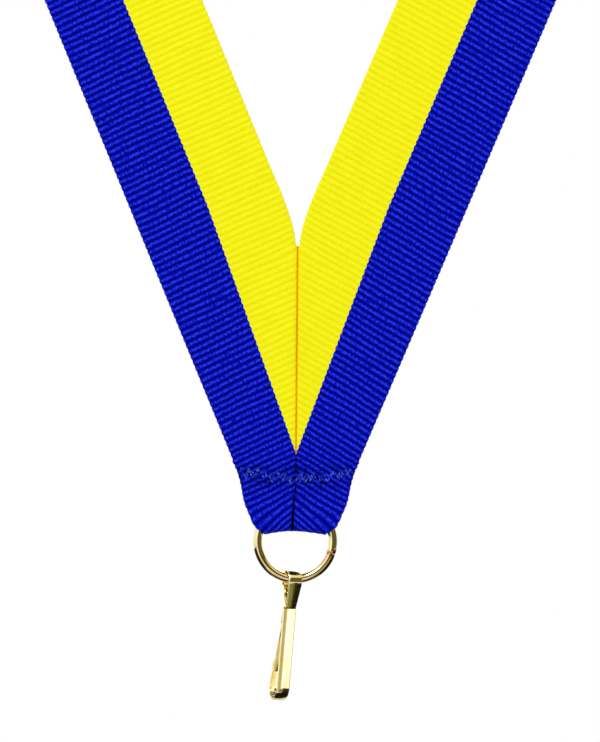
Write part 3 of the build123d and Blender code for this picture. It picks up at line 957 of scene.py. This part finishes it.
gold = gold_material("gold wire", linear(252, 238, 188), linear(238, 208, 138), 0.07, WIRE_LENGTH)
hook_gold = gold_material("gold strip", linear(254, 242, 196), linear(244, 222, 158), 0.09)
dress(make_ring(), gold, "ring", "ring_metal", "jump_ring")
dress(make_hook_strip(), hook_gold, "hook", "hook_metal", "hook_body")
for name, side in (("hook_ear_left", 1.0), ("hook_ear_right", -1.0)):
    dress(make_hook_ear(name, side), hook_gold, "hook", "hook_metal")
gate = frame["nodes"]["gate_spring"]
gate.data.materials.clear()
gate.data.materials.append(hook_gold)


# ---- stage, light and camera -------------------------------------------------------------
def make_quad(name, corners, finish):
    """A flat four-cornered face with its material."""
    mesh = bpy.data.meshes.new(name)
    mesh.from_pydata(corners, [], [(0, 1, 2, 3)])
    mesh.materials.append(finish)
    quad = bpy.data.objects.new(name, mesh)
    bpy.context.scene.collection.objects.link(quad)
    return quad


def make_card(name, turn, rise, distance, spread, shade):
    """A glowing flat card, seen only in reflections, at an azimuth and elevation from the ring.

    Azimuth 0 is the camera's side and grows to the right; spread is width and height in degrees.
    """
    made, _, shader = new_material(name)
    shader.inputs["Base Color"].default_value = (0.0, 0.0, 0.0, 1.0)
    shader.inputs["Specular IOR Level"].default_value = 0.0
    shader.inputs["Emission Color"].default_value = (*shade, 1.0)
    shader.inputs["Emission Strength"].default_value = 1.0
    azimuth, elevation = math.radians(turn), math.radians(rise)
    level = math.cos(elevation)
    out = Vector((level * math.sin(azimuth), -level * math.cos(azimuth), math.sin(elevation)))
    wide, high = (distance * math.tan(math.radians(angle / 2)) for angle in spread)
    corners = [(-wide, -high, 0), (wide, -high, 0), (wide, high, 0), (-wide, high, 0)]
    card = make_quad(name, corners, made)
    card.location = Vector(RING_CENTRE / 1000.0) + out * distance
    card.rotation_euler = (-out).to_track_quat("Z", "Y").to_euler()
    card.visible_camera = False
    card.visible_diffuse = False
    card.visible_shadow = False


def make_lamp(name, offset, target, size, power):
    """Square soft lamp at an offset from its target, in metres and watts."""
    data = bpy.data.lights.new(name, "AREA")
    data.shape = "SQUARE"
    data.size = size
    data.energy = power
    lamp = bpy.data.objects.new(name, data)
    lamp.location = target + np.array(offset)
    lamp.rotation_euler = Vector(-np.array(offset)).to_track_quat("-Z", "Y").to_euler()
    bpy.context.scene.collection.objects.link(lamp)


def make_floor(depth, half):
    """Plain pale floor below the part, with a glow that only the camera sees."""
    made, tree, shader = new_material("pale floor")
    shader.inputs["Base Color"].default_value = (0.85, 0.85, 0.85, 1.0)
    shader.inputs["Roughness"].default_value = 0.9
    shader.inputs["Specular IOR Level"].default_value = 0.1
    path = node(tree, "ShaderNodeLightPath")
    glow = multiply(tree, path.outputs["Is Camera Ray"], 0.5)
    shader.inputs["Emission Color"].default_value = (1.0, 1.0, 1.0, 1.0)
    tree.links.new(glow, shader.inputs["Emission Strength"])
    corners = [(-half, -half, depth), (half, -half, depth), (half, half, depth), (-half, half, depth)]
    floor = make_quad("floor", corners, made)


def make_world(even, extra):
    """White surroundings of an even strength, with some extra for the camera and for mirrors."""
    world = bpy.data.worlds.new("studio")
    bpy.context.scene.world = world
    world.use_nodes = True
    tree = world.node_tree
    path = node(tree, "ShaderNodeLightPath")
    shown = add(tree, path.outputs["Is Camera Ray"], path.outputs["Is Glossy Ray"])
    shown = add(tree, shown, path.outputs["Is Transmission Ray"], clamp=True)
    background = tree.nodes["Background"]
    background.inputs[0].default_value = (1.0, 1.0, 1.0, 1.0)
    tree.links.new(add(tree, even, multiply(tree, shown, extra)), background.inputs[1])


def make_camera(target):
    """Long lens straight in front of the target, far enough to show VIEW_HEIGHT."""
    data = bpy.data.cameras.new("camera")
    data.lens = LENS
    data.sensor_width = SENSOR
    camera = bpy.data.objects.new("camera", data)
    bpy.context.scene.collection.objects.link(camera)
    bpy.context.scene.camera = camera
    camera.location = target + np.array([CAMERA_SHIFT, -VIEW_HEIGHT * LENS / SENSOR, 0.0])
    camera.rotation_euler = (math.pi / 2, CAMERA_ROLL, 0.0)


focus = to_frame(np.array([0.0, 0.0, FOCUS_HEIGHT]))
make_floor(float(focus[2]) - FLOOR_DROP, FLOOR_HALF)
make_lamp("key", (-0.5, -0.7, 0.75), focus, 0.35, 4.8)
make_lamp("fill", (0.8, -0.8, 0.1), focus, 0.6, 1.2)
make_lamp("back", (0.3, 0.9, 0.5), focus, 0.6, 3.6)
make_card("card_side", 44.0, 8.0, 0.04, (120.0, 44.0), (0.10, 0.08, 0.028))
make_card("card_olive", 14.0, 0.0, 0.55, (20.0, 40.0), (0.50, 0.48, 0.22))
make_card("card_tan", 26.0, 0.0, 0.54, (4.0, 40.0), (0.56, 0.38, 0.18))
make_card("card_under", 0.0, -84.0, 0.30, (100.0, 62.0), (0.010, 0.008, 0.004))
make_card("card_low_right", 85.0, -36.0, 0.31, (96.0, 44.0), (0.010, 0.008, 0.004))
make_card("card_low_left", -100.0, -32.0, 0.31, (110.0, 40.0), (0.03, 0.022, 0.006))
make_card("card_tab", 28.0, -35.0, 0.22, (18.0, 22.0), (0.22, 0.21, 0.06))
make_card("card_warm", 46.0, 42.0, 0.50, (40.0, 30.0), (1.0, 0.88, 0.52))
make_card("card_right", 97.0, 8.0, 0.50, (28.0, 46.0), (0.40, 0.28, 0.12))
make_card("card_white", 62.0, 0.0, 0.52, (34.0, 50.0), (1.5, 1.5, 1.45))
make_card("card_over", 20.0, 92.0, 0.30, (60.0, 56.0), (0.03, 0.03, 0.04))
make_world(0.66, 0.34)
make_camera(focus)
